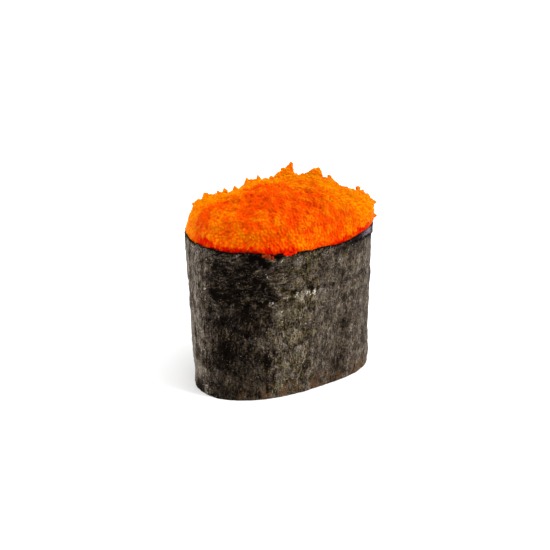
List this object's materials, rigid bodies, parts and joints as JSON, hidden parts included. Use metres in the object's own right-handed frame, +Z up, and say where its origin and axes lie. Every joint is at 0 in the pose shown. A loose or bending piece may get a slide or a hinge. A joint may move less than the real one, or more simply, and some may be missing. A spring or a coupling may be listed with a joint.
{
  "type": "gunkan sushi",
  "caption": "Gunkan sushi: an upright oval band of nori round a block of pressed rice, heaped above its rim with fine orange fish roe.",
  "frame": {"origin": "centre of the footprint on the surface the sushi stands on", "axes": "+Z up, +X along the oval, +Y across it towards the side where the nori's ends overlap"},
  "size_m": [0.0444, 0.0322, 0.0479],
  "materials": {
    "nori": "crinkled fibrous sheet of dried seaweed, nearly black with olive and straw fibres, softly shiny where seen edge on",
    "rice": "moist, slightly see-through grains",
    "roe": "wet, see-through eggs, orange in the light and red between them"
  },
  "bodies": {
    "root": {"nori_wrap": "nori", "rice_core": "rice", "roe_heap": "roe"}
  },
  "joints": []
}
